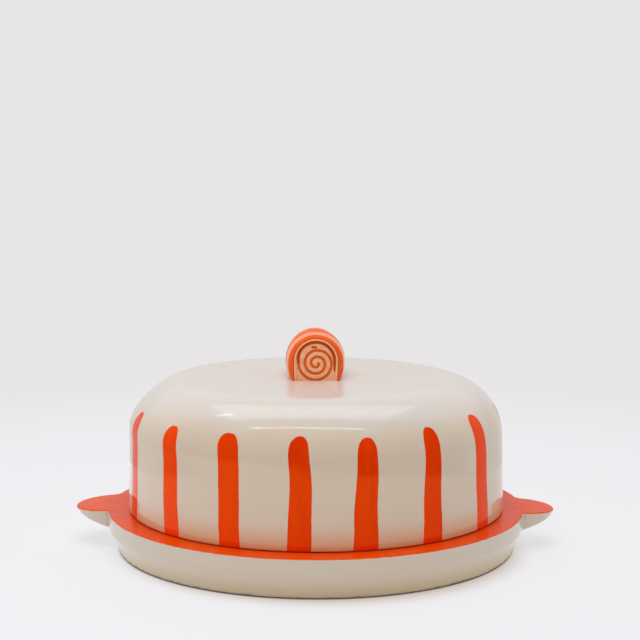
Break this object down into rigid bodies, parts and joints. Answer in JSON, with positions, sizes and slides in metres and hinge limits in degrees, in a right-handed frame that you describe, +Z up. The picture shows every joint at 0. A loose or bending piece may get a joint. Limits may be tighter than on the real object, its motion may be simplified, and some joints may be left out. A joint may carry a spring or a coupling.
{
  "type": "serving plate with cloche",
  "caption": "Round glazed ceramic serving plate with side lug handles and a lift-off domed cloche topped by a knob shaped like a spiral roll.",
  "frame": {"origin": "centre of the plate's foot, on the table", "axes": "+Z up, +X towards the right lug, -Y towards the front, where the knob shows a spiral face"},
  "size_m": [0.321, 0.277, 0.1435],
  "materials": {
    "plate_glaze": "orange gloss glaze on top, cream gloss glaze on the side",
    "cloche_glaze": "cream gloss glaze with hand-painted orange stripes",
    "knob_glaze": "orange and cream gloss glaze in bands"
  },
  "bodies": {
    "plate": {"serving_plate": "plate_glaze", "left_lug": "plate_glaze", "right_lug": "plate_glaze"},
    "cloche": {"cloche_shell": "cloche_glaze", "knob": "knob_glaze"}
  },
  "joints": [
    {"name": "cloche_lift", "type": "slide", "parent": "plate", "child": "cloche", "axis": [0, 0, 1], "range_m": [0, 0.15]}
  ]
}
